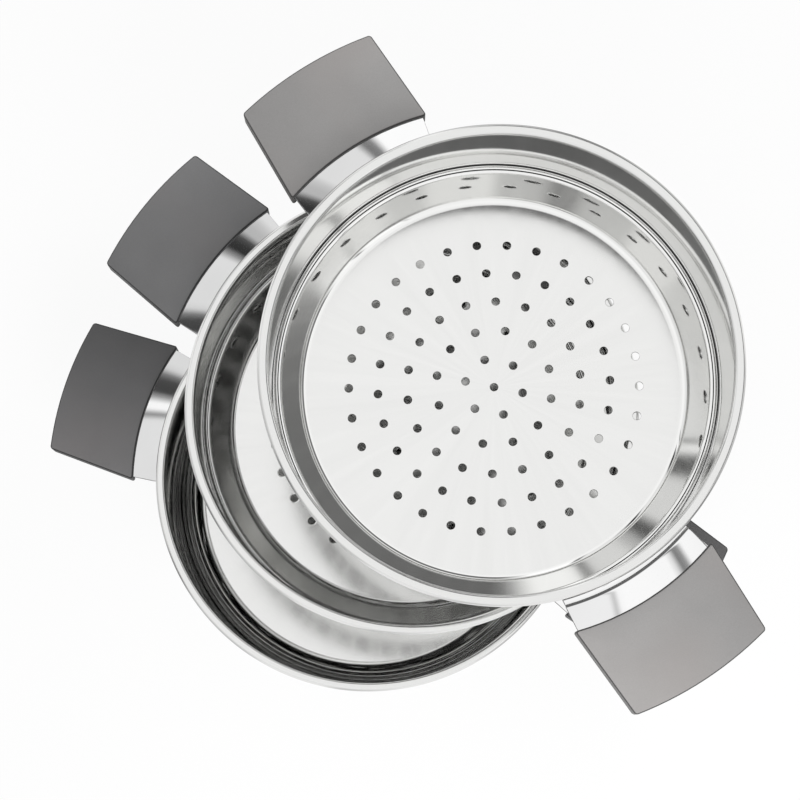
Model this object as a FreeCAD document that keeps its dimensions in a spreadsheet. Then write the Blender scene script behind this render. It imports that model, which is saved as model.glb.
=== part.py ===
import FreeCAD, Part
import math
import os
import re

import Sketcher

# A three-tier steamer in stainless steel: a water pan at the bottom and two perforated baskets that stand
# on it, fanned out so that each one's floor overlaps the rim below. Every vessel has two handles, each a
# curved sheet bracket with a moulded grip held by two screws. Millimetres, +Z up, origin at the centre of
# the pan's underside.

SIZES = [
    # the drawn shells
    ("mouth_radius", 100.0, "inside radius of every vessel's wall"),
    ("sheet", 0.8, "thickness of the drawn steel"),
    ("rim_reach", 5.0, "how far the rim stands out from the inside of the wall"),
    ("rim_lip", 1.2, "bend radius under the rim's lip"),
    ("rim_edge", 1.0, "bend radius under the rim's outer edge"),
    ("rim_skirt", 2.8, "height of the rim's turned-down edge"),
    ("tier_height", 73.4, "height of a basket, underside to rim"),
    ("shoulder_depth", 56.6, "depth of the nesting shoulder below the rim"),
    ("shoulder_width", 2.4, "width of the nesting shoulder"),
    ("shoulder_bend", 0.9, "bend radius of the shoulder"),
    ("floor_radius", 88.6, "inside radius where the tapered foot meets the floor"),
    ("floor_bend", 4.3, "inside bend radius round a basket's floor"),
    ("drain_radius", 1.9, "radius of a drain hole"),
    ("drain_pitch", 13.4, "distance from one ring of drain holes to the next"),
    ("drain_angle", 14.3, "angle of the drain pattern behind the handles, in degrees"),
    # the pan
    ("pan_depth", 95.0, "inside depth of the pan"),
    ("pan_bend", 12.0, "inside bend radius round the pan's floor"),
    ("disc_radius", 86.0, "radius of the heat-spreading disc"),
    ("disc_height", 5.0, "thickness of the heat-spreading disc"),
    ("disc_fit", 0.1, "gap between the disc's edge and its cap"),
    ("cap_bend", 1.5, "outside bend radius of the base cap"),
    # the stack
    ("seat_gap", 0.3, "gap between a basket's underside and the rim below"),
    ("middle_shift_x", 20.5, "middle basket's centre from the pan's centre, along X"),
    ("middle_shift_y", 24.3, "middle basket's centre from the pan's centre, along Y"),
    ("top_shift_x", 37.8, "top basket's centre from the middle basket's centre, along X"),
    ("top_shift_y", 8.4, "top basket's centre from the middle basket's centre, along Y"),
    ("bottom_left_angle", 162.2, "bearing of the pan's left handle, in degrees"),
    ("bottom_right_angle", 344.4, "bearing of the pan's right handle, in degrees"),
    ("middle_left_angle", 142.0, "bearing of the middle basket's left handle, in degrees"),
    ("middle_right_angle", 324.2, "bearing of the middle basket's right handle, in degrees"),
    ("top_left_angle", 122.8, "bearing of the top basket's left handle, in degrees"),
    ("top_right_angle", 302.8, "bearing of the top basket's right handle, in degrees"),
    # the grips
    ("grip_setback", 13.7, "gap between the rim's edge and the grip"),
    ("grip_reach", 41.9, "length of the grip along a radius"),
    ("grip_inner_half", 35.4, "half the grip's width at its inner corners"),
    ("grip_outer_half", 33.7, "half the grip's width at its outer corners"),
    ("grip_drop", 20.0, "depth of the grip's inner top edge below the rim"),
    ("grip_rise", 4.0, "rise of the grip's top from its inner to its outer edge"),
    ("grip_height", 12.0, "thickness of the grip"),
    ("grip_corner", 1.4, "radius of the grip's upright corners"),
    ("grip_edge", 0.8, "radius round the grip's top and underside"),
    # the brackets
    ("weld_gap", 0.05, "gap between the bracket's foot and the wall"),
    ("strap_sheet", 1.5, "thickness of the bracket"),
    ("strap_top", 8.0, "depth of the bracket's upper edge below the rim"),
    ("strap_slope", 0.6, "rise of the bracket per millimetre outward, where it shows"),
    ("strap_bend", 4.0, "inside bend radius where the bracket leaves the wall"),
    ("strap_bury", 3.7, "depth of the bracket below the grip's top where it enters"),
    ("strap_inset", 1.3, "how far the bracket's side lies inside the grip's side"),
    ("strap_foot_half", 31.6, "half the bracket's width at the wall"),
    ("tongue_depth", 3.0, "depth of the tongue below the grip's top"),
    ("tongue_reach", 31.0, "length of the tongue inside the grip"),
    ("tongue_half", 26.0, "half the tongue's width at its end"),
    ("tongue_bend", 2.0, "bend radius where the bracket becomes the tongue"),
    ("slot_slack", 0.1, "gap between the tongue and its slot"),
    # the grip screws
    ("screw_setback", 17.0, "distance of the screws from the grip's inner edge"),
    ("screw_half_spread", 16.0, "half the distance between the two screws of a grip"),
    ("shank_radius", 2.0, "radius of a screw's shank"),
    ("shank_length", 7.4, "length of a screw's shank"),
    ("head_radius", 3.6, "radius of a screw's head"),
    ("head_height", 2.2, "height of a screw's head"),
    ("head_sink", 3.0, "depth of a screw's seat above the grip's underside"),
    ("head_slack", 0.2, "gap round a screw's head"),
    ("shank_slack", 0.05, "gap round a screw's shank in the grip"),
    ("hole_slack", 0.25, "gap round a screw's shank in the tongue"),
    ("cross_half_width", 0.5, "half the width of an arm of the cross recess"),
    ("cross_half_length", 2.0, "half the length of the cross recess"),
    ("cross_depth", 1.2, "depth of the cross recess"),
]
DRAIN_RINGS = 5
HOLES_PER_RING_STEP = 6

doc = FreeCAD.newDocument("tiered_steamer")
sizes_table = doc.addObject("Spreadsheet::Sheet", "Sizes")
for row, (alias, size, meaning) in enumerate(SIZES, start=1):
    sizes_table.set(f"A{row}", meaning)
    sizes_table.set(f"B{row}", str(size))
    sizes_table.setAlias(f"B{row}", alias)
doc.recompute()
ALIASES = {alias for alias, _, _ in SIZES}

# Heights and radii that follow from the driving sizes.
WALL_OUTSIDE = "(mouth_radius + sheet)"
RIM_RADIUS = "(mouth_radius + rim_reach)"
PAN_FLOOR_UNDERSIDE = "(sheet + disc_height)"
PAN_HEIGHT = "(sheet + disc_height + sheet + pan_depth)"
GRIP_INNER = "(mouth_radius + rim_reach + grip_setback)"
GRIP_OUTER = "(mouth_radius + rim_reach + grip_setback + grip_reach)"
GRIP_TILT = "(grip_rise / grip_reach)"


def bound(text):
    """The text with every driving size's name turned into its cell."""
    return re.sub(r"[a-z_]+", lambda word: "Sizes." + word[0] if word[0] in ALIASES else word[0], text)


def value(text):
    """The number that an expression over the driving sizes comes to."""
    result = sizes_table.evalExpression(bound(text))
    return float(getattr(result, "Value", result))


# ---------------------------------------------------------------- helpers for bodies, sketches and features


def new_body(label):
    body = doc.addObject("PartDesign::Body", label)
    body.Label = label
    return body


def origin_feature(body, role):
    return next(feature for feature in body.Origin.OriginFeatures if feature.Role == role)


def new_sketch(body, name, role):
    sketch = body.newObject("Sketcher::SketchObject", name)
    sketch.AttachmentSupport = [(origin_feature(body, role), "")]
    sketch.MapMode = "FlatFace"
    return sketch


def pin(sketch, geometry, end, x_text, y_text):
    """Ties one point of a sketch to the origin by two distances, each bound to the sheet."""
    for kind, text in (("DistanceX", x_text), ("DistanceY", y_text)):
        index = sketch.addConstraint(Sketcher.Constraint(kind, -1, 1, geometry, end, value(text)))
        sketch.setExpression(f"Constraints[{index}]", bound(text))


def bend_arc(corner, before, after, radius):
    """The arc that rounds a corner, its two tangent points, and which of its ends comes first."""
    to_before = (before - corner).normalize()
    to_after = (after - corner).normalize()
    half_angle = to_before.getAngle(to_after) / 2
    arrive = corner + to_before * (radius / math.tan(half_angle))
    leave = corner + to_after * (radius / math.tan(half_angle))
    centre = corner + (to_before + to_after).normalize() * (radius / math.sin(half_angle))
    left_turn = to_before.cross(to_after).z < 0
    first, last = (arrive, leave) if left_turn else (leave, arrive)
    angles = [math.atan2(point.y - centre.y, point.x - centre.x) for point in (first, last)]
    circle = Part.Circle(centre, FreeCAD.Vector(0, 0, 1), radius)
    arc = Part.ArcOfCircle(circle, angles[0], angles[1])
    return arc, arrive, leave, (1, 2) if left_turn else (2, 1)


def draw_outline(sketch, corners):
    """Draws a closed outline through corners (x, y) or (x, y, bend radius), given as text."""
    spots = [FreeCAD.Vector(value(corner[0]), value(corner[1]), 0) for corner in corners]
    arcs = {}
    for index, corner in enumerate(corners):
        if len(corner) == 3:
            after = spots[(index + 1) % len(spots)]
            arcs[index] = bend_arc(spots[index], spots[index - 1], after, value(corner[2]))
    lines = []
    for index, spot in enumerate(spots):
        following = (index + 1) % len(spots)
        start = arcs[index][2] if index in arcs else spot
        stop = arcs[following][1] if following in arcs else spots[following]
        lines.append(sketch.addGeometry(Part.LineSegment(start, stop)))
    for index, corner in enumerate(corners):
        line_in = lines[index - 1]
        line_out = lines[index]
        if index not in arcs:
            sketch.addConstraint(Sketcher.Constraint("Coincident", line_in, 2, line_out, 1))
            pin(sketch, line_out, 1, corner[0], corner[1])
            continue
        arc, _, _, (arrive_end, leave_end) = arcs[index]
        bend = sketch.addGeometry(arc)
        sketch.addConstraint(Sketcher.Constraint("Tangent", line_in, 2, bend, arrive_end))
        sketch.addConstraint(Sketcher.Constraint("Tangent", bend, leave_end, line_out, 1))
        radius = sketch.addConstraint(Sketcher.Constraint("Radius", bend, value(corner[2])))
        sketch.setExpression(f"Constraints[{radius}]", bound(corner[2]))
        tip = sketch.addGeometry(Part.Point(spots[index]), True)
        sketch.addConstraint(Sketcher.Constraint("PointOnObject", tip, 1, line_in))
        sketch.addConstraint(Sketcher.Constraint("PointOnObject", tip, 1, line_out))
        pin(sketch, tip, 1, corner[0], corner[1])


def draw_circle(sketch, x_text, y_text, radius_text):
    centre = FreeCAD.Vector(value(x_text), value(y_text), 0)
    circle = sketch.addGeometry(Part.Circle(centre, FreeCAD.Vector(0, 0, 1), value(radius_text)))
    pin(sketch, circle, 3, x_text, y_text)
    radius = sketch.addConstraint(Sketcher.Constraint("Radius", circle, value(radius_text)))
    sketch.setExpression(f"Constraints[{radius}]", bound(radius_text))


def revolve(body, name, corners, angle=360):
    """Turns an outline, drawn as radius and height, about the body's Z axis, to both sides of +X."""
    sketch = new_sketch(body, name + "_section", "XZ_Plane")
    draw_outline(sketch, corners)
    feature = body.newObject("PartDesign::Revolution", name)
    feature.Profile = sketch
    feature.ReferenceAxis = (sketch, ["V_Axis"])
    feature.Angle = angle
    feature.Midplane = True
    doc.recompute()
    return feature


def cut_through(body, name, draw):
    """Cuts what draw() puts on the XY plane right through the body, both ways."""
    sketch = new_sketch(body, name + "_sketch", "XY_Plane")
    draw(sketch)
    pocket = body.newObject("PartDesign::Pocket", name)
    pocket.Profile = sketch
    pocket.Type = "ThroughAll"
    pocket.Midplane = True
    doc.recompute()
    return pocket


def extrude(body, kind, name, draw, height_text, base_text, upward):
    """Pads or pockets what draw() puts on a level base_text above the body's XY plane."""
    sketch = new_sketch(body, name + "_sketch", "XY_Plane")
    sketch.setExpression("AttachmentOffset.Base.z", bound(base_text))
    draw(sketch)
    feature = body.newObject(kind, name)
    feature.Profile = sketch
    feature.setExpression("Length", bound(height_text))
    feature.Reversed = upward == (kind == "PartDesign::Pocket")
    doc.recompute()
    return feature


def mirror_across_handle(body, name, feature):
    mirrored = body.newObject("PartDesign::Mirrored", name)
    mirrored.Originals = [feature]
    mirrored.MirrorPlane = (origin_feature(body, "XZ_Plane"), [""])
    body.Tip = mirrored
    doc.recompute()
    return mirrored


def place(piece, x_text, y_text, z_text, turn_text):
    """Stands a piece at a place in the stack, turned about Z; every figure follows the sheet."""
    piece.Placement = FreeCAD.Placement(FreeCAD.Vector(), FreeCAD.Rotation(FreeCAD.Vector(0, 0, 1), 1))
    for axis, text in zip("xyz", (x_text, y_text, z_text)):
        piece.setExpression("Placement.Base." + axis, bound(text))
    piece.setExpression("Placement.Rotation.Angle", bound(turn_text))


# ---------------------------------------------------------------- the shells


def rim_corners(height):
    """The rim, from the wall's inside over the flange and its turned-down edge to the wall's outside."""
    return [
        ("mouth_radius", height, "rim_lip + sheet"),
        (RIM_RADIUS, height, "rim_edge + sheet"),
        (RIM_RADIUS, f"{height} - rim_skirt"),
        (f"{RIM_RADIUS} - sheet", f"{height} - rim_skirt"),
        (f"{RIM_RADIUS} - sheet", f"{height} - sheet", "rim_edge"),
        (WALL_OUTSIDE, f"{height} - sheet", "rim_lip"),
    ]


def make_basket(label):
    """A basket: drilled floor, tapered foot, shoulder that nests on a rim, straight wall and rim."""
    body = new_body(label)
    ledge = "(tier_height - shoulder_depth)"
    ledge_inner = "(mouth_radius - shoulder_width)"
    taper = f"(({ledge_inner} - floor_radius) / ({ledge} - sheet))"
    skin = f"(sheet * sqrt(1 + {taper} * {taper}) - sheet * {taper})"
    corners = [
        ("0", "sheet"),
        ("floor_radius", "sheet", "floor_bend"),
        (ledge_inner, ledge, "shoulder_bend + sheet"),
        ("mouth_radius", ledge, "shoulder_bend"),
        *rim_corners("tier_height"),
        (WALL_OUTSIDE, f"{ledge} - sheet", "shoulder_bend + sheet"),
        (f"{ledge_inner} + {skin}", f"{ledge} - sheet", "shoulder_bend"),
        (f"floor_radius + {skin}", "0", "floor_bend + sheet"),
        ("0", "0"),
    ]
    revolve(body, "shell", corners)
    cut_through(body, "centre_drain", lambda sketch: draw_circle(sketch, "0", "0", "drain_radius"))
    for ring in range(1, DRAIN_RINGS + 1):
        reach = f"{ring} * drain_pitch"
        x_text = f"{reach} * cos(drain_angle * 1 deg)"
        y_text = f"-{reach} * sin(drain_angle * 1 deg)"
        hole = cut_through(
            body, f"drain_{ring}", lambda sketch: draw_circle(sketch, x_text, y_text, "drain_radius")
        )
        pattern = body.newObject("PartDesign::PolarPattern", f"drain_ring_{ring}")
        pattern.Originals = [hole]
        pattern.Axis = (origin_feature(body, "Z_Axis"), [""])
        pattern.Angle = 360
        pattern.Occurrences = HOLES_PER_RING_STEP * ring
        body.Tip = pattern
        doc.recompute()
    return body


def make_pan(label):
    """The water pan: plain floor, rounded corner, straight wall and the same rim as the baskets."""
    body = new_body(label)
    corners = [
        ("0", f"{PAN_FLOOR_UNDERSIDE} + sheet"),
        ("mouth_radius", f"{PAN_FLOOR_UNDERSIDE} + sheet", "pan_bend"),
        *rim_corners(PAN_HEIGHT),
        (WALL_OUTSIDE, PAN_FLOOR_UNDERSIDE, "pan_bend + sheet"),
        ("0", PAN_FLOOR_UNDERSIDE),
    ]
    revolve(body, "shell", corners)
    return body


def make_base_disc(label):
    disc = doc.addObject("Part::Cylinder", label)
    disc.Label = label
    disc.setExpression("Radius", bound("disc_radius"))
    disc.setExpression("Height", bound("disc_height"))
    disc.setExpression("Placement.Base.z", bound("sheet"))
    return disc


def make_base_cap(label):
    """The shallow steel cup that encloses the disc against the pan's floor."""
    body = new_body(label)
    inside = "(disc_radius + disc_fit)"
    corners = [
        ("0", "0"),
        (f"{inside} + sheet", "0", "cap_bend"),
        (f"{inside} + sheet", PAN_FLOOR_UNDERSIDE),
        (inside, PAN_FLOOR_UNDERSIDE),
        (inside, "sheet"),
        ("0", "sheet"),
    ]
    revolve(body, "cup", corners)
    return body


# ---------------------------------------------------------------- the handles, from the rim's plane, along +X


def strap_section(slack):
    """The bracket's section: foot on the wall, bend, slope up to the grip, and tongue, widened by slack."""
    foot_face = f"({WALL_OUTSIDE} + weld_gap + strap_sheet + {slack})"
    foot_back = f"({WALL_OUTSIDE} + weld_gap - {slack})"
    slope_skin = "sqrt(1 + strap_slope * strap_slope)"
    tilt_skin = f"sqrt(1 + {GRIP_TILT} * {GRIP_TILT})"
    end = f"({GRIP_INNER} + tongue_reach + {slack})"

    def slope_height(x_text, depth):
        return f"strap_slope * ({x_text} - {GRIP_INNER}) - grip_drop - {depth}"

    def knee(bury, depth):
        x_text = f"({GRIP_INNER} + ({bury} - {depth}) / (strap_slope - {GRIP_TILT}))"
        return x_text, slope_height(x_text, bury)

    def tongue_height(depth):
        return f"{GRIP_TILT} * ({end} - {GRIP_INNER}) - grip_drop - {depth}"

    top_bury = f"(strap_bury - {slack} * {slope_skin})"
    top_depth = f"(tongue_depth - {slack} * {tilt_skin})"
    low_bury = f"(strap_bury + (strap_sheet + {slack}) * {slope_skin})"
    low_depth = f"(tongue_depth + (strap_sheet + {slack}) * {tilt_skin})"
    return [
        (foot_back, "-strap_top"),
        (foot_back, slope_height(foot_back, low_bury), f"strap_bend + strap_sheet + {slack}"),
        (*knee(low_bury, low_depth), f"tongue_bend - {slack}"),
        (end, tongue_height(low_depth)),
        (end, tongue_height(top_depth)),
        (*knee(top_bury, top_depth), f"tongue_bend + strap_sheet + {slack}"),
        (foot_face, slope_height(foot_face, top_bury), f"strap_bend - {slack}"),
        (foot_face, "-strap_top"),
    ]


TRIM_START = "-grip_reach"
TRIM_STOP = f"({GRIP_OUTER} + grip_reach)"


def trim_sides(body, name, side_points):
    """Cuts away what lies outside a side line, from trim start to trim stop, on both sides."""
    corners = side_points + [(TRIM_STOP, TRIM_STOP), (TRIM_START, TRIM_STOP)]
    pocket = cut_through(body, name, lambda sketch: draw_outline(sketch, corners))
    return mirror_across_handle(body, name + "_mirrored", pocket)


def corner_x(radius, half_width):
    """Distance along the handle to a corner that lies on a circle round the vessel."""
    return f"sqrt(({radius}) * ({radius}) - ({half_width}) * ({half_width}))"


def make_strap(label, slack="0"):
    """The bracket, or with slack the slot that it leaves in the grip."""
    body = new_body(label)
    revolve(body, "strap", strap_section(slack), angle=180)
    mouth_half = f"(grip_inner_half - strap_inset + {slack})"
    sides = [
        (TRIM_START, f"strap_foot_half + {slack}"),
        (corner_x(RIM_RADIUS, "strap_foot_half"), f"strap_foot_half + {slack}"),
        (corner_x(GRIP_INNER, "(grip_inner_half - strap_inset)"), mouth_half),
        (f"{GRIP_INNER} + tongue_reach + {slack}", f"tongue_half + {slack}"),
        (TRIM_STOP, f"tongue_half + {slack}"),
    ]
    trim_sides(body, "sides", sides)
    return body


def draw_screw_circles(radius_text):
    """A drawing of one circle at each of the two screws of a grip."""

    def draw(sketch):
        for side in ("", "-"):
            draw_circle(sketch, f"{GRIP_INNER} + screw_setback", f"{side}screw_half_spread", radius_text)

    return draw


def draw_screw_crosses(sketch):
    """A drawing of one cross recess at each of the two screws of a grip."""
    long_arm = "cross_half_length"
    short_arm = "cross_half_width"
    quarter = [(long_arm, short_arm), (short_arm, short_arm), (short_arm, long_arm)]
    for side in ("", "-"):
        corners = []
        for x_sign, y_sign in (("+", "+"), ("-", "+"), ("-", "-"), ("+", "-")):
            arm = quarter if x_sign == y_sign else quarter[::-1]
            for x_text, y_text in arm:
                corners.append(
                    (
                        f"{GRIP_INNER} + screw_setback {x_sign} {x_text}",
                        f"{side}screw_half_spread {y_sign} {y_text}",
                    )
                )
        draw_outline(sketch, corners)


SCREW_SEAT = f"(head_sink - grip_drop - grip_height + {GRIP_TILT} * screw_setback)"


def make_bracket(label):
    body = make_strap(label)
    cut_through(body, "screw_holes", draw_screw_circles("shank_radius + hole_slack"))
    return body


def upright_edges(shape):
    """Names of the straight edges that run nearly upright."""
    names = []
    for index, edge in enumerate(shape.Edges, start=1):
        run = edge.Vertexes[-1].Point - edge.Vertexes[0].Point
        if isinstance(edge.Curve, Part.Line) and abs(run.z) > 0.9 * run.Length:
            names.append(f"Edge{index}")
    return names


def face_outline_edges(shape):
    """Names of one edge of the highest face and one of the lowest; each stands for its whole outline."""
    names = []
    for pick in (max, min):
        level = [face for face in shape.Faces if isinstance(face.Surface, Part.Cone)]
        face = pick(level, key=lambda candidate: candidate.CenterOfMass.z)
        longest = max(face.Edges, key=lambda edge: edge.Length)
        index = next(i for i, edge in enumerate(shape.Edges, start=1) if edge.isSame(longest))
        names.append(f"Edge{index}")
    return names


def round_edges(body, name, edge_names, radius_text):
    base = body.Tip
    fillet = body.newObject("PartDesign::Fillet", name)
    fillet.Base = (base, edge_names)
    fillet.setExpression("Radius", bound(radius_text))
    doc.recompute()
    return fillet


def make_grip(label):
    """The moulded grip: a slab between two arcs, rounded, bored for its screws and slotted."""
    body = new_body(label + "_slab")
    inner_top = "-grip_drop"
    outer_top = "grip_rise - grip_drop"
    corners = [
        (GRIP_INNER, f"{inner_top} - grip_height"),
        (GRIP_OUTER, f"{outer_top} - grip_height"),
        (GRIP_OUTER, outer_top),
        (GRIP_INNER, inner_top),
    ]
    revolve(body, "slab", corners, angle=180)
    side_slope = (
        f"((grip_inner_half - grip_outer_half) / ({corner_x(GRIP_OUTER, 'grip_outer_half')}"
        f" - {corner_x(GRIP_INNER, 'grip_inner_half')}))"
    )
    inner_corner = corner_x(GRIP_INNER, "grip_inner_half")
    sides = [
        (x_text, f"grip_inner_half + {side_slope} * ({inner_corner} - ({x_text}))")
        for x_text in (TRIM_START, TRIM_STOP)
    ]
    trim_sides(body, "sides", sides)
    round_edges(body, "corners", upright_edges(body.Tip.Shape), "grip_corner")
    round_edges(body, "outline", face_outline_edges(body.Tip.Shape), "grip_edge")
    underside = "(-grip_drop - grip_height)"
    extrude(
        body,
        "PartDesign::Pocket",
        "head_holes",
        draw_screw_circles("head_radius + head_slack"),
        f"{SCREW_SEAT} - {underside} + head_sink",
        f"{underside} - head_sink",
        True,
    )
    extrude(
        body,
        "PartDesign::Pocket",
        "shank_holes",
        draw_screw_circles("shank_radius + shank_slack"),
        "shank_length + shank_slack",
        SCREW_SEAT,
        True,
    )
    slot = make_strap(label + "_slot", "slot_slack")
    grip = doc.addObject("Part::Cut", label)
    grip.Label = label
    grip.Base = body
    grip.Tool = slot
    doc.recompute()
    return grip


def make_screws(label):
    """The two screws of a grip: pan heads below, shanks up through the tongue."""
    body = new_body(label)
    body.AllowCompound = True
    head_bottom = f"({SCREW_SEAT} - head_height)"
    heads = draw_screw_circles("head_radius")
    shanks = draw_screw_circles("shank_radius")
    extrude(body, "PartDesign::Pad", "heads", heads, "head_height", head_bottom, True)
    extrude(body, "PartDesign::Pad", "shanks", shanks, "shank_length", SCREW_SEAT, True)
    extrude(body, "PartDesign::Pocket", "crosses", draw_screw_crosses, "cross_depth", head_bottom, True)
    return body


# ---------------------------------------------------------------- the stack

PITCH = "(tier_height + seat_gap)"
MIDDLE_X, MIDDLE_Y = "middle_shift_x", "middle_shift_y"
TOP_X, TOP_Y = "(middle_shift_x + top_shift_x)", "(middle_shift_y + top_shift_y)"
MIDDLE_BASE = f"({PAN_HEIGHT} + seat_gap)"
TOP_BASE = f"({MIDDLE_BASE} + {PITCH})"
VESSELS = [
    # name, maker of its shell, x, y, underside, height
    ("bottom_pan", make_pan, "0", "0", "0", PAN_HEIGHT),
    ("middle_basket", make_basket, MIDDLE_X, MIDDLE_Y, MIDDLE_BASE, "tier_height"),
    ("top_basket", make_basket, TOP_X, TOP_Y, TOP_BASE, "tier_height"),
]
HANDLE_PIECES = [("bracket", make_bracket), ("grip", make_grip), ("grip_screws", make_screws)]

nodes = [make_base_disc("bottom_base_disc"), make_base_cap("bottom_base_cap")]
for name, make_shell, x_text, y_text, base_text, height_text in VESSELS:
    level = name.split("_")[0]
    shell = make_shell(name)
    place(shell, x_text, y_text, base_text, f"{level}_left_angle")
    nodes.append(shell)
    for side in ("left", "right"):
        for piece_name, make_piece in HANDLE_PIECES:
            piece = make_piece(f"{level}_{side}_{piece_name}")
            place(piece, x_text, y_text, f"{base_text} + {height_text}", f"{level}_{side}_angle")
            nodes.append(piece)
doc.recompute()

for thing in doc.Objects:
    if "Invalid" in thing.State or "Error" in thing.State:
        raise RuntimeError(f"{thing.Label} failed: {thing.State}")
os.makedirs("parts", exist_ok=True)
for node in nodes:
    if node.Shape.isNull() or not node.Shape.isValid():
        raise RuntimeError(f"{node.Label} has no valid shape")
    node.Shape.exportStep(os.path.join("parts", node.Label + ".step"))
    print(f"{node.Label}: {len(node.Shape.Solids)} solid(s), {node.Shape.Volume:.0f} mm3")
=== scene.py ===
import math

import bmesh
import bpy
from mathutils import Matrix, Vector
from mathutils.geometry import delaunay_2d_cdt


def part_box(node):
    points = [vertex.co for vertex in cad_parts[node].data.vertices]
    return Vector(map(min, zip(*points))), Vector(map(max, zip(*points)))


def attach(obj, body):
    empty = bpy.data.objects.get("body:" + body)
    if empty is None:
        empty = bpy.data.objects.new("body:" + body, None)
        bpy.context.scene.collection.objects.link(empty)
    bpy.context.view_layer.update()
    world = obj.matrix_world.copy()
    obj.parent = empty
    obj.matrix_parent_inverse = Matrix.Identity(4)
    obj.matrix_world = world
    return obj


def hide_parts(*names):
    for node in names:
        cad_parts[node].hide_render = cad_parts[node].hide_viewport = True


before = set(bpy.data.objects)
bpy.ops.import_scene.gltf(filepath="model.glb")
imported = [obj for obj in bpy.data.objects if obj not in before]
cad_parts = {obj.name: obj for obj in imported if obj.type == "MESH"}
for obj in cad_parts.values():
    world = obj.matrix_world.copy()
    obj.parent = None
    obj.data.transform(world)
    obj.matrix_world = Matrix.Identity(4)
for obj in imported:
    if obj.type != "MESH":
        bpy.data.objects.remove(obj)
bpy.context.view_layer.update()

# The looks of a three-tier stainless steamer, built round the frame: polished shells, sheet brackets and
# matte grips. The scene is in metres. Each piece is drawn in millimetres in its vessel's own axes, with the
# origin on the vessel's axis at the rim's plane and +X towards a handle: a shell's towards the left one, a
# handle's own pieces' towards that handle. A matrix worked out from the frame sets it in place.

MM = 0.001

# ---------------------------------------------------------------- sizes of the pieces, in millimetres

# the vessels' sheet, mouth and rolled rim
MOUTH = 100.0
SHEET = 0.8
RIM_REACH = 5.0
RIM_LIP = 1.2
RIM_EDGE = 1.0
RIM_SKIRT = 2.8
CUT_EDGE = 0.25

# the pan and its base cap
PAN_BEND = 12.0
CAP_BEND = 1.5

# the baskets' nesting shoulder and drilled floor
SHOULDER_DEPTH = 56.6
SHOULDER_WIDTH = 2.4
SHOULDER_BEND = 0.9
FLOOR_RADIUS = 88.6
FLOOR_BEND = 4.3
DRAIN_RADIUS = 1.9
DRAIN_EDGE = 0.22
DRAIN_PITCH = 13.4
DRAIN_RINGS = 5
HOLES_PER_RING_STEP = 6
DRAIN_TURN = math.radians(14.3)

# the grips, whose tops start GRIP_DROP below the rim's plane and rise outward
GRIP_SETBACK = 13.7
GRIP_REACH = 41.9
GRIP_INNER_HALF = 35.4
GRIP_OUTER_HALF = 33.7
GRIP_DROP = 20.0
GRIP_RISE = 4.0
GRIP_HEIGHT = 12.0
GRIP_CORNER = 1.4
GRIP_LEAST_CORNER = 0.15
GRIP_EDGE = 0.8
GRIP_CROWN = 0.35

# the brackets, each a foot on the wall, a slope down to the grip and a tongue inside it
STRAP_SHEET = 1.5
STRAP_TOP = 8.0
STRAP_SLOPE = 0.6
STRAP_BEND = 4.0
STRAP_BURY = 3.7
STRAP_INSET = 1.3
STRAP_FOOT_HALF = 31.6
STRAP_GAP = 0.05
STRAP_EDGE = 0.35
STRAP_EDGE_ANGLE = math.radians(60)
TONGUE_DEPTH = 3.0
TONGUE_REACH = 31.0
TONGUE_HALF = 26.0
TONGUE_BEND = 2.0
SLOT_SLACK = 0.1

# the holes in the grips' undersides that the screws' heads are sunk in
SCREW_SETBACK = 17.0
SCREW_HALF_SPREAD = 16.0
HEAD_HOLE_RADIUS = 3.8
HEAD_SINK = 3.0

WALL_OUTSIDE = MOUTH + SHEET
RIM_RADIUS = MOUTH + RIM_REACH
GRIP_INNER = RIM_RADIUS + GRIP_SETBACK
GRIP_OUTER = GRIP_INNER + GRIP_REACH
GRIP_TILT = GRIP_RISE / GRIP_REACH

# ---------------------------------------------------------------- fineness of the meshes

TURN_STEPS = 288
BEND_STEPS = 8
HOLE_STEPS = 24
DRAIN_EDGE_STEPS = 3
STRAP_STEPS = 48
STRAP_EDGE_STEPS = 3
GRIP_SIDE_STEPS = 14
GRIP_CORNER_STEPS = 7
BORE_STEPS = 40
# closed lines on the grip's top and underside, as insets from its outline, from the middle outward
GRIP_INSETS = (19.5, 15.0, 10.0, 6.0, 3.5, 2.0)
# a line this far beside each bend keeps flat stretches flat under smooth shading
GUARD = 0.5
# a point nearer to the axis than this lies on it
ON_AXIS = 1e-6
# what delaunay_2d_cdt gives, triangles inside the given edges, and how near two points count as one
TRIANGLES_INSIDE = 1
SAME_POINT = 1e-5

BODY_OF_LEVEL = {"bottom": "pan", "middle": "middle_tier", "top": "top_tier"}
SHELL_OF_LEVEL = {"bottom": "bottom_pan", "middle": "middle_basket", "top": "top_basket"}


# ---------------------------------------------------------------- places, from the frame


def vessel_place(level):
    """Where the vessel's axis meets its rim's plane, and the vessel's height, from the frame."""
    low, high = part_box(SHELL_OF_LEVEL[level])
    centre = (low + high) / 2
    return Vector((centre.x, centre.y, high.z)), (high.z - low.z) / MM


def handle_bearing(level, side, rim):
    """The handle's direction from the vessel's axis, from the middle of its two screws in the frame."""
    low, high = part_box(f"{level}_{side}_grip_screws")
    towards = (low + high) / 2 - rim
    return math.atan2(towards.y, towards.x)


def in_place(rim, bearing):
    """The matrix from a vessel's own axes, with +X at a bearing, to the scene."""
    return Matrix.Translation(rim) @ Matrix.Rotation(bearing, 4, "Z")


# ---------------------------------------------------------------- outlines


def quarter_turn(steps):
    """Even angles from 0 to 90 degrees."""
    return [math.pi / 2 * step / steps for step in range(steps + 1)]


def circle(x, y, radius, steps):
    """Even points round a circle."""
    angles = [2 * math.pi * step / steps for step in range(steps)]
    return [(x + radius * math.cos(angle), y + radius * math.sin(angle)) for angle in angles]


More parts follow.
